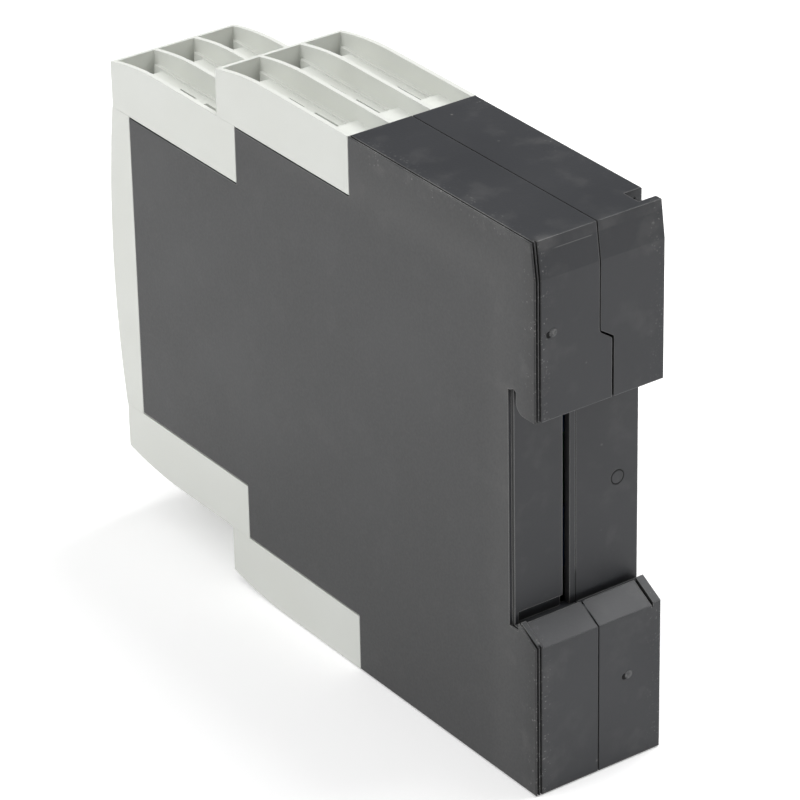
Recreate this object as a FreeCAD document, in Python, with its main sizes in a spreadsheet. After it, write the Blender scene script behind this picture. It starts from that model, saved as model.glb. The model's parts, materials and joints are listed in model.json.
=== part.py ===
import FreeCAD, Part
import math
import os
import Sketcher
from types import SimpleNamespace

doc = FreeCAD.newDocument("PhaseMonitoringRelay")
sheet = doc.addObject("Spreadsheet::Sheet", "Sizes")

# Driving dimensions in millimetres. X is the width, Y runs from the front cover (minus)
# to the rail (plus), Z is up from the flat bottom.
sizes = {
    # black housing halves
    "housing_width": 22.5,
    "housing_height": 88.0,
    "housing_depth": 108.0,
    "shell_wall": 1.2,
    "top_lean": 0.8,
    "lean_height": 5.7,
    "rim_chamfer": 0.12,
    "rim_width": 0.25,
    "rim_groove_width": 0.3,
    "rim_groove_depth": 0.4,
    "rim_bar_width": 0.2,
    "seat_relief": 0.25,
    "seam_gap": 0.1,
    "seam_depth": 0.5,
    # rail recess, lip and hook
    "rail_mouth_low": 24.6,
    "rail_mouth_height": 36.0,
    "recess_depth": 5.5,
    "recess_edge_drop": 0.6,
    "lip_thickness": 4.4,
    "lip_round": 1.8,
    "slot_rise": 3.5,
    "slot_round": 0.7,
    "hook_thickness": 4.1,
    "hook_rise": 2.3,
    "hook_undercut": 1.15,
    "hook_root": 2.2,
    "hook_rib_width": 1.4,
    "hook_rib_height": 0.35,
    "lip_tongue_reach": 2.1,
    "lip_tongue_rise": 9.0,
    "lip_jog": 2.0,
    "jog_round": 0.5,
    "tongue_gap": 0.35,
    "panel_reach": 1.0,
    "panel_gap": 1.26,
    "panel_ledge_rise": 1.95,
    "panel_ledge_depth": 0.6,
    "panel_end_gap": 0.1,
    "notch_width": 3.15,
    "notch_length": 3.25,
    "notch_depth": 10.0,
    # posts inside the halves
    "board_rest_length": 6.0,
    "board_rest_width": 1.6,
    "board_rest_inset": 7.0,
    "board_rest_gap": 0.2,
    "joining_post_width": 4.4,
    "joining_pin_width": 2.5,
    "joining_pin_length": 5.0,
    "joining_pin_clearance": 0.05,
    "joining_post_rise": 8.0,
    "joining_post_drop": 6.5,
    # terminal blocks
    "nose_setback": 2.1,
    "tier_stagger": 29.0,
    "tier_length": 33.6,
    "tier_height": 9.17,
    "nose_drop": 1.6,
    "crown_run": 14.0,
    "tier_side_wall": 0.75,
    "tier_divider": 0.75,
    "tier_front_wall": 0.95,
    "well_length": 0.65,
    "channel_depth": 3.4,
    "groove_ledge": 0.5,
    "groove_drop": 0.3,
    "floor_step": 25.6,
    "rear_floor_depth": 2.55,
    "mouth_width": 4.1,
    "mouth_shift": 0.65,
    "slit_length": 6.2,
    "slit_width": 0.5,
    "slit_depth": 1.5,
    "slit_spread": 2.7,
    "slit_end_gap": 1.6,
    "skirt_length": 8.4,
    "skirt_setback": 2.0,
    "skirt_drop": 2.2,
    "skirt_clearance": 0.15,
    "bead_reach": 0.4,
    "bead_width": 0.7,
    "bead_drop": 0.9,
    "bead_clearance": 0.1,
    # terminal screws, cages and contact bars
    "screw_axis_height": 2.8,
    "screw_head_diameter": 4.2,
    "screw_head_height": 2.4,
    "screw_head_setback": 1.6,
    "screw_diameter": 3.0,
    "thread_clearance": 0.05,
    "bore_clearance": 0.1,
    "shoulder_thickness": 1.5,
    "cage_wall": 0.7,
    "cage_plate": 1.6,
    "cage_width": 5.2,
    "cage_height": 4.0,
    "cage_clearance": 0.15,
    "clamp_travel": 2.5,
    "travel_margin": 0.2,
    "wire_space": 3.2,
    "bar_width": 3.4,
    "bar_thickness": 1.0,
    "bar_tip_gap": 0.2,
    "bar_foot_height": 1.2,
    "bar_foot_drop": 4.5,
    "bar_foot_step": 2.0,
    "bar_pin_reach": 0.5,
    "pin_hole_clearance": 0.1,
    # front cover, dials and lamps
    "cover_depth": 6.6,
    "crown_rise": 1.95,
    "cover_wall": 1.2,
    "cover_tongue_thickness": 0.9,
    "cover_tongue_length": 5.0,
    "cover_tongue_width": 6.0,
    "cover_tongue_spread": 22.0,
    "cover_tongue_root": 2.5,
    "dial_diameter": 7.0,
    "dial_clearance": 0.15,
    "dial_sink": 0.7,
    "dial_shaft_diameter": 3.0,
    "dial_shaft_length": 2.5,
    "dial_shaft_clearance": 0.05,
    "dial_end_gap": 0.2,
    "dial_slot_width": 0.9,
    "dial_slot_length": 5.2,
    "dial_slot_depth": 1.2,
    "dial_pitch": 18.0,
    "top_dial_rise": 5.0,
    "trimmer_width": 7.0,
    "trimmer_height": 4.0,
    "lamp_row_rise": 17.5,
    "lamp_spread": 5.5,
    "pipe_width": 3.0,
    "pipe_height": 1.6,
    "pipe_clearance": 0.1,
    "pipe_bar_height": 3.4,
    "pipe_bar_thickness": 1.2,
    "pipe_bar_length": 15.0,
    "pipe_sink": 0.65,
    "led_size": 2.0,
    "led_height": 1.2,
    # boards and what they carry
    "board_thickness": 1.6,
    "board_edge_gap": 0.7,
    "front_board_setback": 2.0,
    "front_board_gap": 0.25,
    "board_joint_gap": 0.4,
    "relay_length": 28.5,
    "relay_width": 10.0,
    "relay_height": 11.0,
    "relay_rear_gap": 4.0,
    "relay_spread": 22.0,
    "relay_edge": 0.6,
    "transformer_length": 13.0,
    "transformer_width": 14.0,
    "transformer_height": 10.5,
    "transformer_window": 2.6,
    "part_gap": 3.0,
    "film_capacitor_length": 13.0,
    "film_capacitor_width": 6.0,
    "film_capacitor_height": 10.0,
    "can_diameter": 8.0,
    "can_height": 10.5,
    "chip_size": 9.0,
    "chip_height": 1.4,
    "connector_length": 16.0,
    "connector_width": 2.5,
}
for row, (name, number) in enumerate(sizes.items(), start=1):
    sheet.set("A%d" % row, name)
    sheet.set("B%d" % row, str(number))
    sheet.setAlias("B%d" % row, name)
doc.recompute()


class Size:
    # A length written as an expression of the sheet's cells.
    def __init__(self, text):
        self.text = text

    def __add__(self, other):
        return Size("(%s + %s)" % (self.text, written(other)))

    def __radd__(self, other):
        return Size("(%s + %s)" % (written(other), self.text))

    def __sub__(self, other):
        return Size("(%s - %s)" % (self.text, written(other)))

    def __rsub__(self, other):
        return Size("(%s - %s)" % (written(other), self.text))

    def __mul__(self, other):
        return Size("(%s * %s)" % (self.text, written(other)))

    def __rmul__(self, other):
        return Size("(%s * %s)" % (written(other), self.text))

    def __truediv__(self, other):
        return Size("(%s / %s)" % (self.text, written(other)))

    def __neg__(self):
        return Size("(-1 * %s)" % self.text)

    def value(self):
        return float(sheet.evalExpression(self.text))


def written(number):
    return number.text if isinstance(number, Size) else str(number)


def measure(number):
    return number.value() if isinstance(number, Size) else float(number)


d = SimpleNamespace(**{name: Size("Sizes." + name) for name in sizes})
zero = Size("0")
subparts = []


def new_body(label):
    body = doc.addObject("PartDesign::Body", label)
    body.Label = label
    subparts.append(body)
    return body


def origin_feature(body, role):
    return next(feature for feature in body.Origin.OriginFeatures if feature.Role == role)


def arc_run(start, finish, radius, side):
    # Centre and direction of the arc that bulges to one side of the run from start to finish.
    chord = finish - start
    half = chord.Length / 2
    left = FreeCAD.Vector(-chord.y, chord.x, 0).normalize()
    rise = math.sqrt(max(radius * radius - half * half, 0))
    centre = (start + finish) / 2 + left * (rise if side == "right" else -rise)
    ends = (start, finish) if side == "right" else (finish, start)
    angles = [math.atan2(end.y - centre.y, end.x - centre.x) for end in ends]
    circle = Part.Circle(centre, FreeCAD.Vector(0, 0, 1), radius)
    return Part.ArcOfCircle(circle, angles[0], angles[1]), side == "right"


def draw(body, name, role, level, loops):
    # One sketch on an origin plane moved to a level; every corner is held at sheet expressions.
    sketch = body.newObject("Sketcher::SketchObject", name)
    sketch.AttachmentSupport = (origin_feature(body, role), [""])
    sketch.MapMode = "FlatFace"
    offset = -level if role == "XZ_Plane" else level
    sketch.setExpression("AttachmentOffset.Base.z", offset.text)
    geometry = []
    constraints = []
    bindings = []

    def hold(kind, where, size):
        bindings.append((len(constraints), size))
        constraints.append(Sketcher.Constraint(kind, *where, measure(size)))

    for loop in loops:
        first = len(geometry)
        if loop[0] == "circle":
            across, up, radius = loop[1:]
            centre = FreeCAD.Vector(measure(across), measure(up), 0)
            geometry.append(Part.Circle(centre, FreeCAD.Vector(0, 0, 1), measure(radius)))
            hold("DistanceX", (-1, 1, first, 3), across)
            hold("DistanceY", (-1, 1, first, 3), up)
            hold("Radius", (first,), radius)
            continue
        points = [FreeCAD.Vector(measure(corner[0]), measure(corner[1]), 0) for corner in loop]
        count = len(loop)
        begins = []
        finishes = []
        for index, corner in enumerate(loop):
            following = points[(index + 1) % count]
            forward = True
            if len(corner) == 4:
                run, forward = arc_run(points[index], following, measure(corner[2]), corner[3])
            else:
                run = Part.LineSegment(points[index], following)
            geometry.append(run)
            begins.append(1 if forward else 2)
            finishes.append(2 if forward else 1)
        for index, corner in enumerate(loop):
            following = (index + 1) % count
            joined = (first + index, finishes[index], first + following, begins[following])
            constraints.append(Sketcher.Constraint("Coincident", *joined))
            where = (-1, 1, first + index, begins[index])
            hold("DistanceX", where, corner[0])
            hold("DistanceY", where, corner[1])
            if len(corner) == 4:
                hold("Radius", (first + index,), corner[2])
    sketch.addGeometry(geometry, False)
    sketch.addConstraint(constraints)
    for index, size in bindings:
        sketch.setExpression("Constraints[%d]" % index, written(size))
    return sketch


def extrude(kind, body, name, role, low, high, loops):
    # Material added or taken away between two levels along the plane's own axis.
    low = low if isinstance(low, Size) else Size(str(low))
    high = high if isinstance(high, Size) else Size(str(high))
    before = body.Tip.Shape.Volume if body.Tip else 0
    sketch = draw(body, name + "_outline", role, high if role == "XZ_Plane" else low, loops)
    feature = body.newObject("PartDesign::" + kind, name)
    feature.Profile = sketch
    feature.Reversed = kind == "Pocket"
    feature.setExpression("Length", (high - low).text)
    doc.recompute()
    changed = feature.Shape.Volume - before
    if (changed <= 0) if kind == "Pad" else (changed >= 0):
        raise RuntimeError("%s of %s changed nothing" % (name, body.Label))
    return feature


def pad(body, name, role, low, high, *loops):
    return extrude("Pad", body, name, role, low, high, loops)


def cut(body, name, role, low, high, *loops):
    return extrude("Pocket", body, name, role, low, high, loops)


def revolve(body, name, *loops):
    sketch = draw(body, name + "_outline", "XY_Plane", zero, loops)
    feature = body.newObject("PartDesign::Revolution", name)
    feature.Profile = sketch
    feature.ReferenceAxis = (sketch, ["V_Axis"])
    feature.Angle = 360
    doc.recompute()
    return feature


def along_x(body, name, originals, length, count):
    feature = body.newObject("PartDesign::LinearPattern", name)
    feature.Originals = originals
    feature.Direction = (origin_feature(body, "X_Axis"), [""])
    feature.setExpression("Length", length.text)
    feature.Occurrences = count
    body.Tip = feature
    doc.recompute()
    return feature


def soften(kind, body, name, size, chosen):
    # Chamfer or fillet on the edges that a test of their end points picks out.
    base = body.Tip
    edges = []
    for index, edge in enumerate(base.Shape.Edges, start=1):
        ends = [vertex.Point for vertex in edge.Vertexes]
        if len(ends) == 2 and chosen(ends[0], ends[1]):
            edges.append("Edge%d" % index)
    feature = body.newObject("PartDesign::" + kind, name)
    feature.Base = (base, edges)
    feature.setExpression("Size" if kind == "Chamfer" else "Radius", size.text)
    doc.recompute()
    return feature


def rectangle(left, low, right, high):
    return [(left, low), (right, low), (right, high), (left, high)]


def square(across, up, width):
    return rectangle(across - width / 2, up - width / 2, across + width / 2, up + width / 2)


def place(item, x, y, z):
    for axis, size in zip("xyz", (x, y, z)):
        item.setExpression("Placement.Base." + axis, written(size))


def box(label, x, y, z, across, deep, high):
    item = doc.addObject("Part::Box", label)
    for name, size in zip(("Length", "Width", "Height"), (across, deep, high)):
        item.setExpression(name, size.text)
    place(item, x, y, z)
    return item


def keep(item, label):
    item.Label = label
    subparts.append(item)
    return item


def group(label, members):
    item = doc.addObject("Part::Compound", label)
    item.Links = members
    return keep(item, label)


# Shared levels of the whole assembly
side = d.housing_width / 2
inner_side = side - d.shell_wall
rear = d.housing_depth / 2
crown = -rear
top = d.housing_height
middle = top / 2
rear_tier_low = top - d.tier_height
front_tier_low = rear_tier_low - d.tier_height
front_tier_nose = crown + d.nose_setback
front_tier_back = front_tier_nose + d.tier_length
rear_tier_nose = front_tier_nose + d.tier_stagger
rear_tier_back = front_tier_back + d.tier_stagger
plate_front = crown + d.cover_depth
low_step = d.tier_height
low_front_step = d.tier_height * 2
lip_low = d.rail_mouth_low + d.rail_mouth_height
slot_top = lip_low + d.slot_rise
slot_shoulder = slot_top - d.slot_round / 2
recess = rear - d.recess_depth
lip_inside = rear - d.lip_thickness
hook_inside = rear - d.hook_thickness
hook_tip = d.rail_mouth_low + d.hook_rise
slot_low = hook_tip - d.hook_undercut
hook_roof = d.rail_mouth_low - d.hook_root
beyond = d.housing_depth

# Columns of the three terminals and the clamp's levels, measured back from a block's nose
column_width = (d.housing_width - d.tier_side_wall * 2 - d.tier_divider * 2) / 3
column_pitch = column_width + d.tier_divider
head_seat = d.screw_head_setback + d.screw_head_height
pocket_front = head_seat + d.shoulder_thickness
cage_front = pocket_front + d.travel_margin + d.clamp_travel
screw_tip = cage_front + d.cage_plate + d.travel_margin
bar_front = screw_tip + d.bar_tip_gap
bar_back = bar_front + d.bar_thickness
cage_back = bar_back + d.wire_space + d.cage_wall
pocket_back = cage_back + d.travel_margin
skirt_end = d.tier_stagger - d.skirt_setback
skirt_start = skirt_end - d.skirt_length
skirt_side = inner_side - d.skirt_clearance
bead_side = skirt_side + d.bead_reach
groove_side = bead_side + d.bead_clearance

# Board planes
board_left = -(column_pitch + d.board_thickness) / 2
board_right = board_left + d.board_thickness
front_board_face = plate_front + d.front_board_setback
front_board_back = front_board_face + d.board_thickness
board_front = front_board_back + d.board_joint_gap
board_back = recess - d.shell_wall - d.board_edge_gap
board_top = rear_tier_low - d.skirt_drop - d.board_edge_gap
board_front_top = front_tier_low - d.skirt_drop - d.board_edge_gap
board_step = front_tier_back + d.board_edge_gap
rest_rear = board_back - d.board_rest_inset
rest_front = rear_tier_nose + skirt_start
rest_high = board_top - d.board_rest_inset
rest_low = top - rest_high
joining_rear = board_back + d.board_edge_gap + d.joining_post_width / 2
joining_high = slot_top + d.joining_post_rise
joining_low = hook_roof - d.joining_post_drop


def half_outline():
    return [
        (plate_front, front_tier_low),
        (plate_front, low_front_step),
        (front_tier_back, low_front_step),
        (front_tier_back, low_step),
        (rear_tier_back, low_step),
        (rear_tier_back, zero),
        (rear, zero),
        (rear, d.rail_mouth_low),
        (hook_inside, hook_tip),
        (hook_inside, slot_low),
        (recess, slot_low),
        (recess, slot_shoulder, d.slot_round, "left"),
        (lip_inside, slot_shoulder),
        (lip_inside, lip_low + d.lip_round, d.lip_round, "right"),
        (lip_inside + d.lip_round, lip_low),
        (rear, lip_low),
        (rear, top - d.lean_height),
        (rear - d.top_lean, top),
        (rear_tier_back, top),
        (rear_tier_back, rear_tier_low),
        (front_tier_back, rear_tier_low),
        (front_tier_back, front_tier_low),
    ]


def rim_outline(inset):
    return [
        (plate_front + inset, front_tier_low - inset),
        (plate_front + inset, low_front_step + inset),
        (front_tier_back + inset, low_front_step + inset),
        (front_tier_back + inset, low_step + inset),
        (rear_tier_back + inset, low_step + inset),
        (rear_tier_back + inset, inset),
        (rear - inset, inset),
        (rear - inset, d.rail_mouth_low - inset),
        (hook_inside + inset, hook_tip - inset),
        (hook_inside + inset, slot_low - inset),
        (recess - inset, slot_low - inset),
        (recess - inset, slot_top + inset),
        (lip_inside + inset, slot_top + inset),
        (lip_inside + inset, lip_low + d.lip_round, d.lip_round - inset, "right"),
        (lip_inside + d.lip_round, lip_low + inset),
        (rear - inset, lip_low + inset),
        (rear - inset, top - d.lean_height),
        (rear - d.top_lean - inset, top - inset),
        (rear_tier_back + inset, top - inset),
        (rear_tier_back + inset, rear_tier_low - inset),
        (front_tier_back + inset, rear_tier_low - inset),
        (front_tier_back + inset, front_tier_low - inset),
    ]


def hollow_outline():
    wall = d.shell_wall
    return [
        (rear_tier_back + wall, top - wall),
        (rear_tier_back + wall, rear_tier_low - d.skirt_drop),
        (rear_tier_back, rear_tier_low - d.skirt_drop),
        (rear_tier_back, top + wall),
        (-beyond, top + wall),
        (-beyond, -wall),
        (rear_tier_back, -wall),
        (rear_tier_back, low_step + d.skirt_drop),
        (rear_tier_back + wall, low_step + d.skirt_drop),
        (rear_tier_back + wall, wall),
        (rear - wall, wall),
        (rear - wall, hook_roof),
        (recess - wall, hook_roof),
        (recess - wall, slot_top + wall),
        (lip_inside + wall, slot_top + wall),
        (lip_inside + wall, lip_low + wall),
        (rear - wall, lip_low + wall),
        (rear - wall, top - d.lean_height),
        (rear - d.top_lean - wall, top - wall),
    ]


def rim_edge(level):
    def chosen(start, finish):
        return abs(start.x - level) < 0.001 and abs(finish.x - level) < 0.001
    return chosen


def shell(label, hand):
    # One moulded half: a stepped side plate with half of the top, the rail hook and the bottom.
    body = new_body(label)

    def span(near, far):
        return (near, far) if hand > 0 else (-far, -near)

    pad(body, "plate", "YZ_Plane", *span(zero, side), half_outline())
    soften("Chamfer", body, "rim_bevel", d.rim_chamfer, rim_edge(measure(side) * hand))
    cut(body, "hollow", "YZ_Plane", *span(zero, inner_side), hollow_outline())
    around = rectangle(-beyond, -beyond, beyond, beyond)
    cut(body, "seam_groove", "YZ_Plane", *span(zero, d.seam_gap), around, rim_outline(d.seam_depth))
    if hand > 0:
        depth = d.rim_groove_depth
        first = side - d.rim_width
        second = first - d.rim_groove_width - d.rim_bar_width
        cut(body, "rim_groove", "YZ_Plane", first - d.rim_groove_width, first, around, rim_outline(depth))
        cut(body, "rear_groove", "YZ_Plane", second - d.rim_groove_width, second, [
            (rear - depth, -beyond),
            (beyond, -beyond),
            (beyond, beyond),
            (rear - d.top_lean - depth, beyond),
            (rear - d.top_lean - depth, top),
            (rear - depth, top - d.lean_height),
        ])
    rib = d.hook_rib_height
    reach = d.hook_thickness
    slope = d.hook_rise / d.hook_thickness
    inner = (recess + hook_inside) / 2

    def above_slope(drop):
        return [
            (inner, hook_tip - drop + slope * (hook_inside - inner)),
            (rear + reach, d.rail_mouth_low - drop - slope * reach),
            (rear + reach, hook_tip + reach),
            (inner, hook_tip + reach),
        ]

    rib_side = side - d.hook_rib_width
    cut(body, "hook_relief", "YZ_Plane", *span(zero, rib_side), above_slope(rib))
    if hand < 0:
        cut(body, "rib_groove", "YZ_Plane", *span(rib_side - d.rim_groove_width, rib_side),
            above_slope(rib + d.rim_groove_depth))
    # the plate's edge stands a little below each block's seat
    rim_inside = side - d.rim_width - d.rim_groove_width
    for name, front, back, low, up in seats:
        ends = sorted((low, low - up * d.seat_relief), key=measure)
        cut(body, "seat_relief_" + name, "YZ_Plane", *span(rim_inside, side),
            rectangle(front, ends[0], back, ends[1]))
    # grooves that hold the blocks' beads and the cover's hooks
    bead_high = d.bead_drop - d.bead_clearance
    bead_low = d.bead_drop + d.bead_width + d.bead_clearance
    for name, nose, low, up in tiers:
        ends = sorted((low - up * bead_low, low - up * bead_high), key=measure)
        cut(body, "bead_groove_" + name, "YZ_Plane", *span(inner_side - d.bead_clearance, groove_side),
            rectangle(nose + skirt_start - d.bead_clearance, ends[0],
                      nose + skirt_end + d.bead_clearance, ends[1]))
    cut(body, "hook_groove", "YZ_Plane", *span(inner_side - d.bead_clearance, groove_side),
        rectangle(hook_bead_front - d.bead_clearance, middle - hook_span,
                  tongue_end + d.bead_clearance, middle + hook_span))
    # ribs that hold the board and posts that join the halves
    face = -board_left if hand < 0 else board_right + d.board_rest_gap
    half_long = d.board_rest_length / 2
    half_wide = d.board_rest_width / 2
    for name, y, z in (("rear_high", rest_rear, rest_high), ("rear_low", rest_rear, rest_low),
                       ("front_high", rest_front, rest_high), ("front_low", rest_front, rest_low)):
        pad(body, "board_rest_" + name, "YZ_Plane", *span(face, inner_side),
            rectangle(y - half_long, z - half_wide, y + half_long, z + half_wide))
    for name, z in (("high", joining_high), ("low", joining_low)):
        pad(body, "joining_post_" + name, "YZ_Plane", *span(zero, inner_side),
            square(joining_rear, z, d.joining_post_width))
        if hand > 0:
            cut(body, "joining_bore_" + name, "YZ_Plane", zero, d.joining_pin_length + d.board_rest_gap,
                square(joining_rear, z, d.joining_pin_width + d.joining_pin_clearance * 2))
        else:
            pad(body, "joining_pin_" + name, "YZ_Plane", zero, d.joining_pin_length,
                square(joining_rear, z, d.joining_pin_width))
    return body


def jog_outline(near, reach, high, low):
    # The tongue on the rear face: it leaves the middle in a soft double bend and runs down beside it.
    run = d.jog_round * 0.55
    fall = d.jog_round * 0.9
    return [
        (near, lip_low - (reach - d.lip_tongue_reach)),
        (near, high),
        (zero, high, d.jog_round, "left"),
        (-run, high - fall),
        (run - reach, low + fall, d.jog_round, "right"),
        (-reach, low),
        (-reach, lip_low - (reach - d.lip_tongue_reach)),
    ]


# The four blocks: name, nose along Y, level of the face that sits on the plates, up or down
tiers = [
    ("upper_rear", rear_tier_nose, rear_tier_low, 1),
    ("upper_front", front_tier_nose, front_tier_low, 1),
    ("lower_rear", rear_tier_nose, low_step, -1),
    ("lower_front", front_tier_nose, low_front_step, -1),
]
# The plates' edges under them: name, front and back along Y, level, up or down
seats = [
    ("upper_rear", front_tier_back, rear_tier_back, rear_tier_low, 1),
    ("upper_front", plate_front, front_tier_back, front_tier_low, 1),
    ("lower_rear", front_tier_back, rear_tier_back, low_step, -1),
    ("lower_front", plate_front, front_tier_back, low_front_step, -1),
]
tongue_end = plate_front + d.cover_tongue_length
hook_bead_front = tongue_end - d.bead_width * 2
hook_bead_back = hook_bead_front + d.bead_width
hook_span = (d.cover_tongue_spread + d.cover_tongue_width) / 2 + d.bead_clearance

# Right half: its lip runs past the middle as a tongue, its rail panel stops short of it
right_half = shell("right_housing_half", 1)
cut(right_half, "panel_opening", "YZ_Plane", zero, d.panel_reach + d.panel_gap,
    rectangle(recess - d.shell_wall * 2, slot_low, recess + d.panel_gap, slot_top))
cut(right_half, "panel_ledge", "YZ_Plane", d.panel_reach, inner_side,
    rectangle(recess - d.panel_ledge_depth, slot_low, recess, slot_low + d.panel_ledge_rise))
cut(right_half, "recess_edge", "YZ_Plane", side - d.rim_width - d.rim_groove_width, side,
    rectangle(recess - d.recess_edge_drop, slot_low, recess, slot_shoulder))
tongue_top = slot_top - d.tongue_gap
jog_low = lip_low + d.lip_tongue_rise
jog_high = jog_low + d.lip_jog
pad(right_half, "lip_tongue", "YZ_Plane", -d.lip_tongue_reach, d.seam_gap, [
    (lip_inside, tongue_top),
    (lip_inside, lip_low + d.lip_round, d.lip_round, "right"),
    (lip_inside + d.lip_round, lip_low),
    (rear, lip_low),
    (rear, tongue_top),
])
pad(right_half, "rear_tongue", "XZ_Plane", rear - d.shell_wall, rear,
    jog_outline(d.seam_gap, d.lip_tongue_reach, jog_high, jog_low))

# Left half: cleared for the tongue, its rail panel reaches past the middle, corner notch
left_half = shell("left_housing_half", -1)
clear = d.tongue_gap
cut(left_half, "lip_clearance", "YZ_Plane", -(d.lip_tongue_reach + clear), zero, [
    (lip_inside - clear, slot_top),
    (lip_inside - clear, lip_low - clear),
    (rear + clear, lip_low - clear),
    (rear + clear, slot_top),
])
cut(left_half, "rear_clearance", "XZ_Plane", rear - d.shell_wall - clear, rear + clear,
    jog_outline(clear, d.lip_tongue_reach + clear, jog_high + clear, jog_low + clear / 2))
pad(left_half, "panel_overlap", "YZ_Plane", zero, d.panel_reach,
    rectangle(recess - d.shell_wall, slot_low + d.panel_end_gap, recess, slot_top - d.panel_end_gap))
notch_back = rear - d.top_lean - d.shell_wall
cut(left_half, "corner_notch", "XY_Plane", top - d.notch_depth, top + d.notch_depth,
    rectangle(-side - d.notch_width, notch_back - d.notch_length, d.notch_width - side, notch_back))


def terminal_block(label, nose, low, up):
    # Modelled from its nose (Y 0) and its seat (Z 0), then set on the plates or turned under them.
    body = new_body(label)
    crest = d.tier_height
    run = d.crown_run
    drop = d.nose_drop
    bend = (run * run + drop * drop) / (drop * 2)
    pad(body, "block", "YZ_Plane", -side, side, [
        (zero, zero),
        (d.tier_length, zero),
        (d.tier_length, crest),
        (run, crest, bend, "right"),
        (zero, crest - drop),
    ])
    first = -column_pitch
    axis = d.screw_axis_height
    wall = d.tier_front_wall
    well_back = wall + d.well_length
    ledge = crest - d.channel_depth
    groove_floor = ledge - d.groove_drop
    rear_floor = crest - d.rear_floor_depth
    pocket_top = axis + d.cage_height / 2 + d.cage_clearance
    beyond_top = crest + d.tier_height
    half_column = column_width / 2
    half_groove = half_column - d.groove_ledge
    half_pocket = d.cage_width / 2 + d.cage_clearance
    mouth_side = first + d.mouth_shift - d.mouth_width / 2
    bore = d.screw_head_diameter / 2 + d.bore_clearance
    neck = d.screw_diameter / 2 + d.bore_clearance
    channel = cut(body, "channel", "YZ_Plane", first - half_column, first + half_column, [
        (wall, axis),
        (well_back, axis),
        (well_back, ledge),
        (d.floor_step, ledge),
        (d.floor_step, rear_floor),
        (d.tier_length + wall, rear_floor),
        (d.tier_length + wall, beyond_top),
        (wall, beyond_top),
    ])
    groove = cut(body, "groove", "YZ_Plane", first - half_groove, first + half_groove, [
        (wall, axis),
        (head_seat, axis),
        (head_seat, groove_floor),
        (d.floor_step, groove_floor),
        (d.floor_step, beyond_top),
        (wall, beyond_top),
    ])
    pocket = cut(body, "cage_pocket", "YZ_Plane", first - half_pocket, first + half_pocket,
                 rectangle(pocket_front, -wall, pocket_back, pocket_top))
    mouth = cut(body, "wire_mouth", "XY_Plane", axis, ledge,
                rectangle(mouth_side, bar_back, mouth_side + d.mouth_width, pocket_back))
    access = cut(body, "screw_access", "XZ_Plane", -wall, head_seat, ("circle", first, axis, bore))
    passage = cut(body, "screw_saddle", "XZ_Plane", head_seat, pocket_front,
                  rectangle(first - neck, -wall, first + neck, axis + neck))
    slit_end = d.floor_step - d.slit_end_gap
    slit_side = d.slit_width / 2
    slits = cut(body, "floor_slits", "XY_Plane", groove_floor - d.slit_depth, ledge, *[
        rectangle(first + d.slit_spread / 2 * step - slit_side, slit_end - d.slit_length,
                  first + d.slit_spread / 2 * step + slit_side, slit_end) for step in (-1, 1)])
    along_x(body, "columns", [channel, groove, pocket, mouth, access, passage, slits], column_pitch * 2, 3)
    pad(body, "skirt", "XZ_Plane", skirt_start, skirt_end, [
        (-skirt_side, zero),
        (-skirt_side, -d.bead_drop),
        (-bead_side, -d.bead_drop),
        (-bead_side, -d.bead_drop - d.bead_width),
        (-skirt_side, -d.bead_drop - d.bead_width),
        (-skirt_side, -d.skirt_drop),
        (skirt_side, -d.skirt_drop),
        (skirt_side, -d.bead_drop - d.bead_width),
        (bead_side, -d.bead_drop - d.bead_width),
        (bead_side, -d.bead_drop),
        (skirt_side, -d.bead_drop),
        (skirt_side, zero),
    ])
    if up < 0:
        body.Placement = FreeCAD.Placement(FreeCAD.Vector(), FreeCAD.Rotation(FreeCAD.Vector(0, 1, 0), 180))
    place(body, zero, nose, low)
    return body


def terminal_screw(label, x, y, z):
    body = new_body(label)
    head = d.screw_head_diameter / 2
    shank = d.screw_diameter / 2
    start = d.screw_head_setback
    revolve(body, "turned", [
        (zero, start),
        (head, start),
        (head, head_seat),
        (shank, head_seat),
        (shank, screw_tip),
        (zero, screw_tip),
    ])
    place(body, x, y, z)
    return body


def clamp_cage(label, x, y, z):
    body = new_body(label)
    half = d.cage_width / 2
    opening = half - d.cage_wall
    pad(body, "ring", "XY_Plane", -d.cage_height / 2, d.cage_height / 2,
        rectangle(-half, cage_front, half, cage_back),
        rectangle(-opening, cage_front + d.cage_plate, opening, cage_back - d.cage_wall))
    cut(body, "screw_hole", "XZ_Plane", cage_front - d.cage_wall, cage_front + d.cage_plate + d.cage_wall,
        ("circle", zero, zero, d.screw_diameter / 2 + d.thread_clearance))
    place(body, x, y, z)
    return body


def contact_bar(label, x, order, nose, low, up):
    # A blanked strip: upright in the clamp, with a foot that reaches through the board.
    body = new_body(label)
    subparts.remove(body)
    half = d.bar_width / 2
    tall = d.screw_axis_height + d.cage_height / 2
    foot_low = d.bar_foot_drop + d.bar_foot_step * order + d.bar_foot_height / 2
    foot_high = foot_low - d.bar_foot_height
    if order == 0:
        near, far, tip = x - half, x + half, board_right + d.bar_pin_reach
    else:
        near, far, tip = x + half, x - half, board_left - d.bar_pin_reach
    corners = [
        (near, tall), (far, tall), (far, -foot_high), (tip, -foot_high),
        (tip, -foot_low), (near, -foot_low),
    ]
    pad(body, "strip", "XZ_Plane", nose + bar_front, nose + bar_back,
        [(across, low + level * up) for across, level in corners])
    return body


def board_slots():
    # One slot in the main board for each contact bar's foot.
    clear = d.pin_hole_clearance
    slots = []
    for name, nose, low, up in tiers:
        for order in range(3):
            centre = low - up * (d.bar_foot_drop + d.bar_foot_step * order)
            half = d.bar_foot_height / 2 + clear
            slots.append(rectangle(nose + bar_front - clear, centre - half,
                                   nose + bar_back + clear, centre + half))
    return slots


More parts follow.
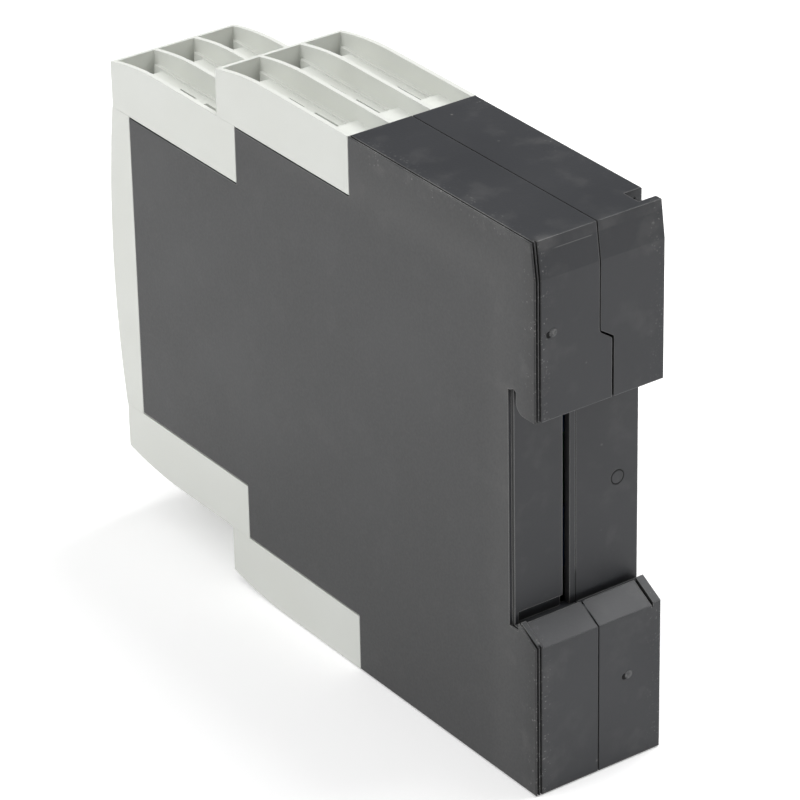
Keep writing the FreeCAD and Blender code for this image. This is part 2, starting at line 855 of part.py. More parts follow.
for name, nose, low, up in tiers:
    terminal_block(name + "_terminal_block", nose, low, up)
    bars = []
    for order, column in enumerate(("left", "middle", "right")):
        x = column_pitch * (order - 1)
        axis_z = low + d.screw_axis_height * up
        terminal_screw("%s_%s_screw" % (name, column), x, nose, axis_z)
        clamp_cage("%s_%s_cage" % (name, column), x, nose, axis_z)
        bars.append(contact_bar("%s_%s_bar" % (name, column), x, order, nose, low, up))
    group(name + "_contact_bars", bars)

# Front cover: crowned face, open behind, four hooks that snap between the plates
cover = new_body("front_cover")
half_chord = (front_tier_low - low_front_step) / 2
inner_chord = half_chord - d.cover_wall
face_edge = crown + d.crown_rise
face_bend = (half_chord * half_chord + d.crown_rise * d.crown_rise) / (d.crown_rise * 2)
inner_bend = (inner_chord * inner_chord + d.crown_rise * d.crown_rise) / (d.crown_rise * 2)
pad(cover, "crowned_face", "YZ_Plane", -side, side, [
    (plate_front, low_front_step),
    (plate_front, front_tier_low),
    (face_edge, front_tier_low, face_bend, "right"),
    (face_edge, low_front_step),
])
cover_inside = side - d.cover_wall
cut(cover, "hollow", "YZ_Plane", -cover_inside, cover_inside, [
    (plate_front + d.cover_wall, low_front_step + d.cover_wall),
    (plate_front + d.cover_wall, front_tier_low - d.cover_wall),
    (face_edge + d.cover_wall, front_tier_low - d.cover_wall, inner_bend, "right"),
    (face_edge + d.cover_wall, low_front_step + d.cover_wall),
])
dial_levels = [middle + d.top_dial_rise, middle + d.top_dial_rise - d.dial_pitch]
lamp_level = middle + d.lamp_row_rise
cut(cover, "dial_holes", "XZ_Plane", crown - d.cover_wall, plate_front,
    *[("circle", zero, level, d.dial_diameter / 2 + d.dial_clearance) for level in dial_levels])


def lamp_windows(clearance):
    wide = d.pipe_width / 2 + clearance
    tall = d.pipe_height / 2 + clearance
    return [rectangle(d.lamp_spread * step - wide, lamp_level - tall, d.lamp_spread * step + wide,
                      lamp_level + tall) for step in (-1, 0, 1)]


cut(cover, "lamp_holes", "XZ_Plane", crown - d.cover_wall, plate_front, *lamp_windows(d.pipe_clearance))
tongue_far = skirt_side
tongue_near = tongue_far - d.cover_tongue_thickness
for name, hand in (("right", 1), ("left", -1)):
    for place_name, step in (("high", 1), ("low", -1)):
        centre = middle + d.cover_tongue_spread / 2 * step
        corners = [
            (tongue_near, plate_front - d.cover_tongue_root),
            (cover_inside + d.cover_wall / 2, plate_front - d.cover_tongue_root),
            (cover_inside + d.cover_wall / 2, plate_front),
            (tongue_far, plate_front),
            (tongue_far, hook_bead_front),
            (bead_side, hook_bead_front),
            (bead_side, hook_bead_back),
            (tongue_far, tongue_end),
            (tongue_near, tongue_end),
        ]
        pad(cover, "hook_%s_%s" % (name, place_name), "XY_Plane",
            centre - d.cover_tongue_width / 2, centre + d.cover_tongue_width / 2,
            [(across * hand, along) for across, along in corners])

# Boards
main_board = new_body("main_circuit_board")
pad(main_board, "laminate", "YZ_Plane", board_left, board_right, [
    (board_front, top - board_front_top),
    (board_step, top - board_front_top),
    (board_step, top - board_top),
    (board_back, top - board_top),
    (board_back, board_top),
    (board_step, board_top),
    (board_step, board_front_top),
    (board_front, board_front_top),
], *board_slots())
front_half = tongue_near - d.front_board_gap
front_low = low_front_step + d.cover_wall + d.board_edge_gap
front_high = top - front_low
keep(box("front_board", -front_half, front_board_face, front_low,
         front_half * 2, d.board_thickness, front_high - front_low), "front_circuit_board")
keep(box("connector", board_right, board_front - d.board_joint_gap, middle - d.connector_length / 2,
         d.connector_width, d.connector_width, d.connector_length), "board_connector")

# Dials and the trimmers that they turn in
trimmer_face = front_board_face - d.trimmer_height
dial_face = crown + d.dial_sink
dial_back = trimmer_face - d.dial_end_gap
trimmers = []
for label, level in zip(("unbalance_dial", "delay_dial"), dial_levels):
    half = d.trimmer_width / 2
    shaft = d.dial_shaft_diameter / 2
    trimmer = new_body(label + "_trimmer")
    subparts.remove(trimmer)
    pad(trimmer, "case", "XZ_Plane", trimmer_face, front_board_face,
        rectangle(-half, level - half, half, level + half))
    cut(trimmer, "bearing", "XZ_Plane", trimmer_face - d.dial_end_gap, trimmer_face + d.dial_shaft_length,
        ("circle", zero, level, shaft + d.dial_shaft_clearance))
    trimmers.append(trimmer)
    dial = new_body(label)
    knob = d.dial_diameter / 2
    revolve(dial, "turned", [
        (zero, dial_face),
        (knob, dial_face),
        (knob, dial_back),
        (shaft, dial_back),
        (shaft, dial_back + d.dial_shaft_length),
        (zero, dial_back + d.dial_shaft_length),
    ])
    cut(dial, "driver_slot", "XZ_Plane", dial_face, dial_face + d.dial_slot_depth,
        rectangle(-d.dial_slot_width / 2, -d.dial_slot_length / 2,
                  d.dial_slot_width / 2, d.dial_slot_length / 2))
    place(dial, zero, zero, level)
group("trimmer_bodies", trimmers)

# Lamps: three chips on the front board and one clear moulding with three rods
leds = [box("led", d.lamp_spread * step - d.led_size / 2, front_board_face - d.led_height,
            lamp_level - d.led_size / 2, d.led_size, d.led_height, d.led_size) for step in (-1, 0, 1)]
group("status_leds", leds)
pipe = new_body("light_pipe")
pipe_back = front_board_face - d.led_height - d.dial_end_gap
pad(pipe, "bar", "XZ_Plane", pipe_back - d.pipe_bar_thickness, pipe_back,
    rectangle(-d.pipe_bar_length / 2, lamp_level - d.pipe_bar_height / 2,
              d.pipe_bar_length / 2, lamp_level + d.pipe_bar_height / 2))
pad(pipe, "rods", "XZ_Plane", crown + d.pipe_sink, pipe_back - d.pipe_bar_thickness, *lamp_windows(zero))

# What the main board carries, standing on its right-hand face
relay_back = board_back - d.relay_rear_gap
for label, step in (("upper_output_relay", 1), ("lower_output_relay", -1)):
    case = box(label + "_case", board_right, relay_back - d.relay_length,
               middle + d.relay_spread / 2 * step - d.relay_width / 2,
               d.relay_height, d.relay_length, d.relay_width)
    doc.recompute()
    rounded = doc.addObject("Part::Chamfer", label)
    rounded.Base = case
    outer = measure(board_right + d.relay_height)
    edge = measure(d.relay_edge)
    rounded.Edges = [(index, edge, edge) for index, line in enumerate(case.Shape.Edges, start=1)
                     if all(abs(vertex.X - outer) < 0.001 for vertex in line.Vertexes)]
    keep(rounded, label)

relay_front = relay_back - d.relay_length
transformer_back = relay_front - d.part_gap
winding = new_body("supply_transformer")
half_wide = d.transformer_width / 2
window = d.transformer_window
pad(winding, "core", "YZ_Plane", board_right, board_right + d.transformer_height,
    rectangle(transformer_back - d.transformer_length, middle - half_wide,
              transformer_back, middle + half_wide))
cut(winding, "window_front", "YZ_Plane", board_right + window, board_right + d.transformer_height - window,
    rectangle(transformer_back - d.transformer_length - window, middle - half_wide + window,
              transformer_back - d.transformer_length + window, middle + half_wide - window))
cut(winding, "window_back", "YZ_Plane", board_right + window, board_right + d.transformer_height - window,
    rectangle(transformer_back - window, middle - half_wide + window,
              transformer_back + window, middle + half_wide - window))

film_low = middle + half_wide + d.part_gap
keep(box("film", board_right, transformer_back - d.film_capacitor_length, film_low,
         d.film_capacitor_height, d.film_capacitor_length, d.film_capacitor_width), "film_capacitor")

can = new_body("smoothing_capacitor")
can_level = middle - half_wide - d.part_gap - d.can_diameter / 2
can_centre = transformer_back - d.can_diameter / 2
pad(can, "can", "YZ_Plane", board_right, board_right + d.can_height,
    ("circle", can_centre, can_level, d.can_diameter / 2))

chip_front = board_front + d.connector_width + d.part_gap
keep(box("chip", board_right, chip_front, middle - d.chip_size / 2,
         d.chip_height, d.chip_size, d.chip_size), "controller_chip")

doc.recompute()
for item in doc.Objects:
    if "Invalid" in item.State or "Error" in item.State:
        raise RuntimeError("%s did not build: %s" % (item.Label, item.State))
for item in subparts:
    if item.Shape.isNull() or not item.Shape.isValid():
        raise RuntimeError("%s has no valid shape" % item.Label)
labels = [item.Label for item in subparts]
if len(set(labels)) != len(labels):
    raise RuntimeError("two sub-parts share a name")
os.makedirs("parts", exist_ok=True)
for item in subparts:
    item.Shape.exportStep("parts/%s.step" % item.Label)
print("%d sub-parts written" % len(subparts))
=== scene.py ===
import json
import math

import bmesh
import bpy
from mathutils import Matrix, Vector


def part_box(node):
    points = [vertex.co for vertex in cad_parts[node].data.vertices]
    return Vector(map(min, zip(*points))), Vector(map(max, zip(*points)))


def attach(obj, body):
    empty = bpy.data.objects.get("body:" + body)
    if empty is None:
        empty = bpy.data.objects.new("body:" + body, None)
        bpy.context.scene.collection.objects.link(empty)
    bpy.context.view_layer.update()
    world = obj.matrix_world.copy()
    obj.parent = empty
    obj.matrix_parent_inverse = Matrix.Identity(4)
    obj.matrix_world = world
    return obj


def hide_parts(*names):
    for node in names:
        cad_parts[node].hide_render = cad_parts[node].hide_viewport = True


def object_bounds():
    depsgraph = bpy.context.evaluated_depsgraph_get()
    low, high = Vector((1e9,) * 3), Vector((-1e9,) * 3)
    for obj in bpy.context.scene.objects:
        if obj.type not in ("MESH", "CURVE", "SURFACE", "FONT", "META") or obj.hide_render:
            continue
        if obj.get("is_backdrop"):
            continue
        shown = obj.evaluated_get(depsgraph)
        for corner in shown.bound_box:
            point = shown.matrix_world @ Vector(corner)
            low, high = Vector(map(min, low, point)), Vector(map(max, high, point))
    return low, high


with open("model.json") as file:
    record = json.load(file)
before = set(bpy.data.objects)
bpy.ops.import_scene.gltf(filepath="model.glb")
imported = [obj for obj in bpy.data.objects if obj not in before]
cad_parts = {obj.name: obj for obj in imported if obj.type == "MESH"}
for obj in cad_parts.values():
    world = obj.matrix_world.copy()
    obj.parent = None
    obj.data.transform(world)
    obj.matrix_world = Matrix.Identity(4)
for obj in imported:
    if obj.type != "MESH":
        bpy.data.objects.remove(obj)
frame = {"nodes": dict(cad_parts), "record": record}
cadLow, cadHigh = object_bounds()
nodes = frame["nodes"]
print("frame loaded:", len(nodes), "nodes")


# Nodes and links for materials

def addNode(tree, kind, inputs=None, **settings):
    node = tree.nodes.new("ShaderNode" + kind)
    for name, value in settings.items():
        setattr(node, name, value)
    for key, value in (inputs or {}).items():
        if isinstance(value, bpy.types.NodeSocket):
            tree.links.new(value, node.inputs[key])
        else:
            node.inputs[key].default_value = value
    return node


def calc(tree, operation, *terms, clamp=False):
    node = addNode(tree, "Math", dict(enumerate(terms)), operation=operation, use_clamp=clamp)
    return node.outputs[0]


def multiply(tree, result, *factors):
    for factor in factors:
        result = calc(tree, "MULTIPLY", result, factor)
    return result


def vectorCalc(tree, operation, *terms):
    return addNode(tree, "VectorMath", dict(enumerate(terms)), operation=operation)


def splitAxes(tree, vector):
    return addNode(tree, "SeparateXYZ", {0: vector}).outputs


def noise(tree, vector, scale, detail=2.0):
    return addNode(tree, "TexNoise", {"Vector": vector, "Scale": scale, "Detail": detail}).outputs[0]


def fade(tree, value, start, end, low=0.0, high=1.0):
    inputs = {"Value": value, "From Min": start, "From Max": end, "To Min": low, "To Max": high}
    return addNode(tree, "MapRange", inputs, interpolation_type="SMOOTHSTEP").outputs[0]


def blendColour(tree, factor, first, second):
    node = addNode(tree, "Mix", {0: factor, 6: first, 7: second}, data_type="RGBA")
    return node.outputs[2]


def newGroup(name, inputs, outputs):
    group = bpy.data.node_groups.new(name, "ShaderNodeTree")
    for label, kind, value in inputs:
        socket = group.interface.new_socket(label, in_out="INPUT", socket_type="NodeSocket" + kind)
        if value is not None:
            socket.default_value = value
    for label, kind in outputs:
        group.interface.new_socket(label, in_out="OUTPUT", socket_type="NodeSocket" + kind)
    start = group.nodes.new("NodeGroupInput")
    end = group.nodes.new("NodeGroupOutput")
    return group, start.outputs, end.inputs


def useGroup(tree, group, **inputs):
    return addNode(tree, "Group", inputs, node_tree=group).outputs


# Shared surface effects
# each value named for a fade holds its start, its end and, if they are not 0 and 1, the results there

effects = {
    "grainDetail": 3.0,
    "toneFade": (0.3, 0.7),
    "speckStir": 3.0,
    "speckOutlineFade": (0.3, 0.7, 0.6, 1.8),
    "speckContrast": 2.0,
    "speckFaintest": 0.2,
    "edgeSamples": 8,
    "hollowSamples": 8,
    "discCore": 0.7,
}


def makeMouldedGrain():
    group, given, out = newGroup(
        "mouldedGrain",
        [("Vector", "Vector", None), ("Fineness", "Float", 2600.0), ("Drift", "Float", 45.0)],
        [("Height", "Float"), ("Tone", "Float")])
    fine = noise(group, given["Vector"], given["Fineness"], effects["grainDetail"])
    slow = noise(group, given["Vector"], given["Drift"])
    group.links.new(fine, out["Height"])
    group.links.new(fade(group, slow, *effects["toneFade"]), out["Tone"])
    return group


def makeDustSpecks():
    group, given, out = newGroup(
        "dustSpecks",
        [("Vector", "Vector", None), ("Spacing", "Float", 500.0),
         ("Size", "Float", 0.1), ("Share", "Float", 0.05)],
        [("Mask", "Float")])
    cells = addNode(group, "TexVoronoi", {"Vector": given["Vector"], "Scale": given["Spacing"]})
    chance = addNode(group, "SeparateColor", {0: cells.outputs["Color"]}).outputs
    kept = calc(group, "LESS_THAN", chance[0], given["Share"])
    stir = noise(group, given["Vector"], multiply(group, given["Spacing"], effects["speckStir"]))
    away = multiply(group, cells.outputs["Distance"], fade(group, stir, *effects["speckOutlineFade"]))
    near = fade(group, away, 0.0, given["Size"], 1.0, 0.0)
    strength = calc(group, "POWER", chance[1], effects["speckContrast"])
    faintest = effects["speckFaintest"]
    strength = calc(group, "MULTIPLY_ADD", strength, 1.0 - faintest, faintest)
    group.links.new(multiply(group, kept, near, strength), out["Mask"])
    return group


def makeSoftEdge():
    group, given, out = newGroup(
        "softEdge",
        [("Radius", "Float", 0.0002), ("Reach", "Float", 0.2)],
        [("Normal", "Vector"), ("WearAndHighlight", "Float")])
    # the mask marks rounded edges for wear and for a painted edge highlight
    inputs = {"Radius": given["Radius"]}
    rounded = addNode(group, "Bevel", inputs, samples=effects["edgeSamples"]).outputs[0]
    flat = addNode(group, "NewGeometry").outputs["Normal"]
    agree = vectorCalc(group, "DOT_PRODUCT", rounded, flat).outputs["Value"]
    turned = calc(group, "SUBTRACT", 1.0, agree)
    group.links.new(rounded, out["Normal"])
    group.links.new(calc(group, "DIVIDE", turned, given["Reach"], clamp=True), out["WearAndHighlight"])
    return group


def makeRingMark():
    group, given, out = newGroup(
        "ringMark",
        [("Vector", "Vector", None), ("Centre", "Vector", (0.0, 0.0, 0.0)),
         ("Radius", "Float", 0.001), ("Line", "Float", 0.0001)],
        [("Ring", "Float"), ("Disc", "Float")])
    away = vectorCalc(group, "DISTANCE", given["Vector"], given["Centre"]).outputs["Value"]
    offset = calc(group, "ABSOLUTE", calc(group, "SUBTRACT", away, given["Radius"]))
    group.links.new(fade(group, offset, 0.0, given["Line"], 1.0, 0.0), out["Ring"])
    core = multiply(group, given["Radius"], effects["discCore"])
    group.links.new(fade(group, away, core, given["Radius"], 1.0, 0.0), out["Disc"])
    return group


mouldedGrain = makeMouldedGrain()
dustSpecks = makeDustSpecks()
softEdge = makeSoftEdge()
ringMark = makeRingMark()
print("shared effects ready")


# Materials

def startMaterial(name, **plain):
    material = bpy.data.materials.new(name)
    material.use_nodes = True
    tree = material.node_tree
    shader = tree.nodes["Principled BSDF"]
    for key, value in plain.items():
        shader.inputs[key].default_value = value
    place = addNode(tree, "TexCoord").outputs["Object"]
    return material, tree, shader, place


def varyRoughness(tree, look, grain):
    return calc(tree, "MULTIPLY_ADD", grain["Tone"], look["roughVary"], look["roughness"])


def findHollows(tree, look):
    inputs = {"Distance": look["hollowReach"]}
    openness = addNode(tree, "AmbientOcclusion", inputs, samples=effects["hollowSamples"]).outputs["AO"]
    return fade(tree, openness, *look["hollowFade"])


def finishSurface(tree, shader, look, colour, roughness, height, normal):
    tree.links.new(colour, shader.inputs["Base Color"])
    tree.links.new(roughness, shader.inputs["Roughness"])
    inputs = {"Strength": look["bumpStrength"], "Distance": look["bumpDepth"],
              "Height": height, "Normal": normal}
    bump = addNode(tree, "Bump", inputs)
    tree.links.new(bump.outputs[0], shader.inputs["Normal"])


blackCase = {
    "deep": (0.028, 0.0285, 0.030, 1),
    "lifted": (0.047, 0.047, 0.0475, 1),
    # darker, bluer colour painted on every face but the big sides, a painted shade
    "paintedFaceShade": (0.019, 0.021, 0.026, 1),
    # pale colour for scuffs and for painted highlights on edges, lines and the gate nubs
    "wornAndHighlight": (0.26, 0.26, 0.255, 1),
    "dust": (0.40, 0.39, 0.37, 1),
    "speck": (0.80, 0.79, 0.76, 1),
    "shade": (0.003, 0.003, 0.003, 1),
    "roughness": 0.46,
    "roughVary": 0.08,
    "edgeRound": 0.00028,
    "bumpStrength": 0.35,
    "bumpDepth": 0.00003,
    "cornerBlend": 0.006,
    "patchScale": 230.0,
    "patchDetail": 4.0,
    # painted highlight band a little inside the top and rear edges
    "sheenBandInset": 0.0075,
    "sheenBandWidth": 0.0055,
    "sheenBandShare": 0.5,
    "driftShare": 0.5,
    "saltShare": 1.6,
    "paintedFaceShadeFade": (0.4, 0.8, 0.75, 0.0),
    "hazeShare": 0.06,
    "hazePatchFade": (0.50, 0.74),
    "hazeEdgeFade": (0.0, 0.012, 1.0, 0.2),
    "looseDust": {"Spacing": 420.0, "Size": 0.13, "Share": 0.06},
    "looseShare": 0.5,
    "rubbedSpecks": {"Spacing": 2100.0, "Size": 0.48, "Share": 0.45},
    "rubEdgeFade": (0.0002, 0.0034, 1.0, 0.0),
    "rubTopFade": (0.0, 0.004, 0.35, 1.0),
    "rubPatchFade": (0.4, 0.6, 0.3, 1.0),
    "rubAcrossFade": (-0.004, 0.004, 0.4, 1.0),
    "scuffAndHighlightToneFade": (0.1, 0.8, 0.35, 0.9),
    "seamFade": (0.0, 0.0009),
    "lipTopFade": (0.0005, 0.0010),
    "lipHeightFade": (0.030, 0.032),
    "rearFade": (0.0, 0.0035, 1.0, 0.0),
    "rimStrip": 0.0013,
    "rimNoScuffNoHighlight": 0.9,
    "rimPaintedShade": 0.45,
    "dustyStripFade": (0.0863, 0.0867),
    "dustyPatchFade": (0.35, 0.7, 0.0, 0.07),
    "hollowReach": 0.0030,
    "hollowFade": (0.25, 0.62, 0.8, 0.0),
    "lineStart": 0.0005,
    "lineEnd": 0.0015,
    # the lower line is a painted highlight along the rail panel's lower edge
    "paleLinesAndHighlight": [
        {"height": 0.0863, "left": 0.0008, "right": 0.0080, "half": 0.00012,
         "front": 0.0520, "strength": 0.35},
        {"height": 0.0277, "left": 0.0008, "right": 0.0104, "half": 0.00022,
         "front": 0.0478, "strength": 0.30},
    ],
    "gatePips": [
        {"pit": (0.0088, 0.054, 0.0738), "nub": (0.0081, 0.054, 0.0739)},
        {"pit": (-0.0047, 0.054, 0.0142), "nub": (-0.0054, 0.054, 0.0143)},
    ],
    "pitRadius": 0.00062,
    "nubRadius": 0.000744,
    "pitRise": -30.0,
    "nubRise": 20.0,
    # lighter spot on the nub, a painted highlight
    "nubHighlightFade": (0.38, 0.62, 0.12, 0.34),
    "ejectorRing": {"Centre": (-0.0075, 0.0485, 0.0436), "Radius": 0.0011, "Line": 0.00022},
    "ejectorRise": -20.0,
}


def locateOnCase(tree, place):
    look = blackCase
    axes = splitAxes(tree, place)
    spot = {"place": place, "x": axes["X"], "y": axes["Y"], "z": axes["Z"]}
    spot["fromTop"] = calc(tree, "SUBTRACT", cadHigh.z, spot["z"])
    spot["fromRear"] = calc(tree, "SUBTRACT", cadHigh.y, spot["y"])
    spot["fromMiddle"] = calc(tree, "ABSOLUTE", spot["x"])
    spot["inward"] = calc(tree, "SMOOTH_MIN", spot["fromTop"], spot["fromRear"], look["cornerBlend"])
    fromSide = calc(tree, "SUBTRACT", cadHigh.x, spot["fromMiddle"])
    spot["fromEdge"] = calc(tree, "MAXIMUM", spot["inward"], fromSide)
    spot["patches"] = noise(tree, place, look["patchScale"], look["patchDetail"])
    spot["atRear"] = fade(tree, spot["fromRear"], *look["rearFade"])
    # the narrow strip between the two grooves down the +X rear corner gets no scuff and no painted edge
    # highlight, and is painted dark, a painted shade as in those grooves
    onRim = calc(tree, "GREATER_THAN", spot["x"], cadHigh.x - look["rimStrip"])
    spot["rim"] = multiply(tree, onRim, spot["atRear"])
    return spot


def mouldCase(tree, spot, grain):
    # a slow drift and a salt grain in the tone, and a painted highlight band a little inside the top and
    # rear edges, where the slightly curved face catches light
    look = blackCase
    away = calc(tree, "ABSOLUTE", calc(tree, "SUBTRACT", spot["inward"], look["sheenBandInset"]))
    sheenBand = fade(tree, away, 0.0, look["sheenBandWidth"], 1.0, 0.0)
    tone = multiply(tree, calc(tree, "SUBTRACT", grain["Height"], 0.5), look["saltShare"])
    tone = calc(tree, "MULTIPLY_ADD", grain["Tone"], look["driftShare"], tone)
    tone = calc(tree, "MULTIPLY_ADD", sheenBand, look["sheenBandShare"], tone)
    colour = blendColour(tree, tone, look["deep"], look["lifted"])
    # painted shade: every face but the big sides is painted darker and bluer, as faces that catch less
    # light
    normal = addNode(tree, "TexCoord").outputs["Normal"]
    sideways = calc(tree, "ABSOLUTE", splitAxes(tree, normal)["X"])
    return blendColour(tree, fade(tree, sideways, *look["paintedFaceShadeFade"]), colour, look["paintedFaceShade"])


def handleCase(tree, spot, grain, wear, colour):
    # cloudy smears and fine pale specks near the top and rear edges, corners lightened by scuffs and a
    # painted edge highlight, loose dust
    look = blackCase
    haze = multiply(tree, fade(tree, spot["patches"], *look["hazePatchFade"]),
                    fade(tree, spot["fromEdge"], *look["hazeEdgeFade"]), look["hazeShare"])
    colour = blendColour(tree, haze, colour, look["dust"])
    # the seam gets neither scuff nor painted edge highlight, except on the lip and the rail panel
    lip = multiply(tree, fade(tree, spot["fromTop"], *look["lipTopFade"]),
                   fade(tree, spot["z"], *look["lipHeightFade"]))
    offSeam = calc(tree, "MAXIMUM", fade(tree, spot["fromMiddle"], *look["seamFade"]), lip)
    offRim = calc(tree, "MULTIPLY_ADD", spot["rim"], -look["rimNoScuffNoHighlight"], 1.0)
    # edges lightened by scuffs and a painted edge highlight
    scuffAndHighlight = multiply(tree, wear, fade(tree, grain["Tone"], *look["scuffAndHighlightToneFade"]), offSeam, offRim)
    colour = blendColour(tree, scuffAndHighlight, colour, look["wornAndHighlight"])
    rubbed = useGroup(tree, dustSpecks, Vector=spot["place"], **look["rubbedSpecks"])
    nearRim = multiply(tree, fade(tree, spot["fromEdge"], *look["rubEdgeFade"]),
                       fade(tree, spot["fromTop"], *look["rubTopFade"]),
                       fade(tree, spot["patches"], *look["rubPatchFade"]),
                       fade(tree, spot["x"], *look["rubAcrossFade"]))
    colour = blendColour(tree, multiply(tree, rubbed["Mask"], nearRim), colour, look["speck"])
    loose = useGroup(tree, dustSpecks, Vector=spot["place"], **look["looseDust"])
    colour = blendColour(tree, multiply(tree, loose["Mask"], look["looseShare"]), colour, look["dust"])
    strip = multiply(tree, fade(tree, spot["z"], *look["dustyStripFade"]), spot["atRear"],
                     fade(tree, spot["patches"], *look["dustyPatchFade"]))
    return blendColour(tree, strip, colour, look["dust"])


def drawPaleLines(tree, spot, colour, paintedShade):
    # a pale line under the top rear edge, and a painted highlight along the lower edge of the rail panel
    look = blackCase
    for line in look["paleLinesAndHighlight"]:
        offset = calc(tree, "ABSOLUTE", calc(tree, "SUBTRACT", spot["z"], line["height"]))
        stroke = multiply(tree, fade(tree, offset, 0.0, line["half"], 1.0, 0.0),
                          fade(tree, spot["x"], line["left"], line["left"] + look["lineStart"]),
                          fade(tree, spot["x"], line["right"] - look["lineEnd"], line["right"], 1.0, 0.0),
                          calc(tree, "GREATER_THAN", spot["y"], line["front"]), line["strength"])
        colour = blendColour(tree, stroke, colour, look["wornAndHighlight"])
        paintedShade = calc(tree, "SUBTRACT", paintedShade, stroke, clamp=True)
    return colour, paintedShade


def drawGatePips(tree, spot, grain, colour, paintedShade):
    # a broken-off nub beside its pit; the pit is painted dark as its shade and the nub gets a lighter spot
    # as a painted highlight
    look = blackCase
    height = grain["Height"]
    for pip in look["gatePips"]:
        pit = useGroup(tree, ringMark, Vector=spot["place"], Centre=pip["pit"], Radius=look["pitRadius"])
        nub = useGroup(tree, ringMark, Vector=spot["place"], Centre=pip["nub"], Radius=look["nubRadius"])
        paintedShade = calc(tree, "MAXIMUM", paintedShade, calc(tree, "SUBTRACT", pit["Disc"], nub["Disc"], clamp=True))
        nubHighlight = multiply(tree, nub["Disc"], fade(tree, grain["Height"], *look["nubHighlightFade"]))
        colour = blendColour(tree, nubHighlight, colour, look["wornAndHighlight"])
        height = calc(tree, "MULTIPLY_ADD", pit["Disc"], look["pitRise"], height)
        height = calc(tree, "MULTIPLY_ADD", nub["Disc"], look["nubRise"], height)
    return colour, paintedShade, height


def makeBlackPlastic():
    look = blackCase
    material, tree, shader, place = startMaterial("fineMattBlack")
    grain = useGroup(tree, mouldedGrain, Vector=place)
    edge = useGroup(tree, softEdge, Radius=look["edgeRound"])
    spot = locateOnCase(tree, place)
    colour = mouldCase(tree, spot, grain)
    colour = handleCase(tree, spot, grain, edge["WearAndHighlight"], colour)
    # painted shade: grooves and slots are painted dark where little light reaches them
    paintedShade = calc(tree, "MAXIMUM", findHollows(tree, look), multiply(tree, spot["rim"], look["rimPaintedShade"]))
    colour, paintedShade = drawPaleLines(tree, spot, colour, paintedShade)
    colour, paintedShade, height = drawGatePips(tree, spot, grain, colour, paintedShade)
    # the ejector pin's ring line is painted dark, a painted shade in its fine groove
    ejector = useGroup(tree, ringMark, Vector=place, **look["ejectorRing"])
    paintedShade = calc(tree, "MAXIMUM", paintedShade, ejector["Ring"])
    height = calc(tree, "MULTIPLY_ADD", ejector["Ring"], look["ejectorRise"], height)
    colour = blendColour(tree, paintedShade, colour, look["shade"])
    roughness = calc(tree, "MAXIMUM", varyRoughness(tree, look, grain), paintedShade)
    finishSurface(tree, shader, look, colour, roughness, height, edge["Normal"])
    return material


paleMoulding = {
    "body": (0.705, 0.720, 0.682, 1),
    "aged": (0.680, 0.692, 0.645, 1),
    "agedShare": 0.45,
    "wornAndHighlight": (0.80, 0.81, 0.79, 1),
    "wornAndHighlightShare": 0.4,
    "grimeAndHollowShade": (0.42, 0.40, 0.36, 1),
    "grimeShare": 0.4,
    "grain": {"Fineness": 1800.0, "Drift": 60.0},
    "specks": {"Spacing": 350.0, "Size": 0.07, "Share": 0.012},
    "roughness": 0.42,
    "roughVary": 0.06,
    "edgeRound": 0.00018,
    "bumpStrength": 0.2,
    "bumpDepth": 0.00001,
}


def makePalePlastic():
    look = paleMoulding
    material, tree, shader, place = startMaterial("paleGreyMoulding")
    grain = useGroup(tree, mouldedGrain, Vector=place, **look["grain"])
    specks = useGroup(tree, dustSpecks, Vector=place, **look["specks"])
    edge = useGroup(tree, softEdge, Radius=look["edgeRound"])
    colour = blendColour(tree, multiply(tree, grain["Tone"], look["agedShare"]), look["body"], look["aged"])
    # edges lightened by wear and a painted edge highlight
    colour = blendColour(tree, multiply(tree, edge["WearAndHighlight"], look["wornAndHighlightShare"]), colour, look["wornAndHighlight"])
    colour = blendColour(tree, multiply(tree, specks["Mask"], look["grimeShare"]), colour, look["grimeAndHollowShade"])
    roughness = varyRoughness(tree, look, grain)
    finishSurface(tree, shader, look, colour, roughness, grain["Height"], edge["Normal"])
    return material


smallParts = {
    "metallic": 0.0,
    "grain": {"Fineness": 1500.0, "Drift": 300.0},
    "edgeRound": 0.0001,
    "wear": None,
    "wearShare": 0.5,
    "grimeAndHollowShade": (0.03, 0.03, 0.028, 1),
    "hollowReach": None,
    "hollowFade": (0.35, 0.85, 0.9, 0.0),
    "roughVary": 0.1,
    "bumpStrength": 0.25,
    "bumpDepth": 0.00001,
}


def makeFinish(name, first, second, roughness, **own):
    # small hardware and inner parts: two close tones, a fine grain, soft edges and, on some, painted shade
    # in the hollows
    look = {**smallParts, "roughness": roughness, **own}
    material, tree, shader, place = startMaterial(name, Metallic=look["metallic"])
    grain = useGroup(tree, mouldedGrain, Vector=place, **look["grain"])
    edge = useGroup(tree, softEdge, Radius=look["edgeRound"])
    colour = blendColour(tree, grain["Tone"], first, second)
    if look["wear"]:
        colour = blendColour(tree, multiply(tree, edge["WearAndHighlight"], look["wearShare"]), colour, look["wear"])
    if look["hollowReach"]:
        # painted shade in the hollows
        colour = blendColour(tree, findHollows(tree, look), colour, look["grimeAndHollowShade"])
    roughness = varyRoughness(tree, look, grain)
    finishSurface(tree, shader, look, colour, roughness, grain["Height"], edge["Normal"])
    return material


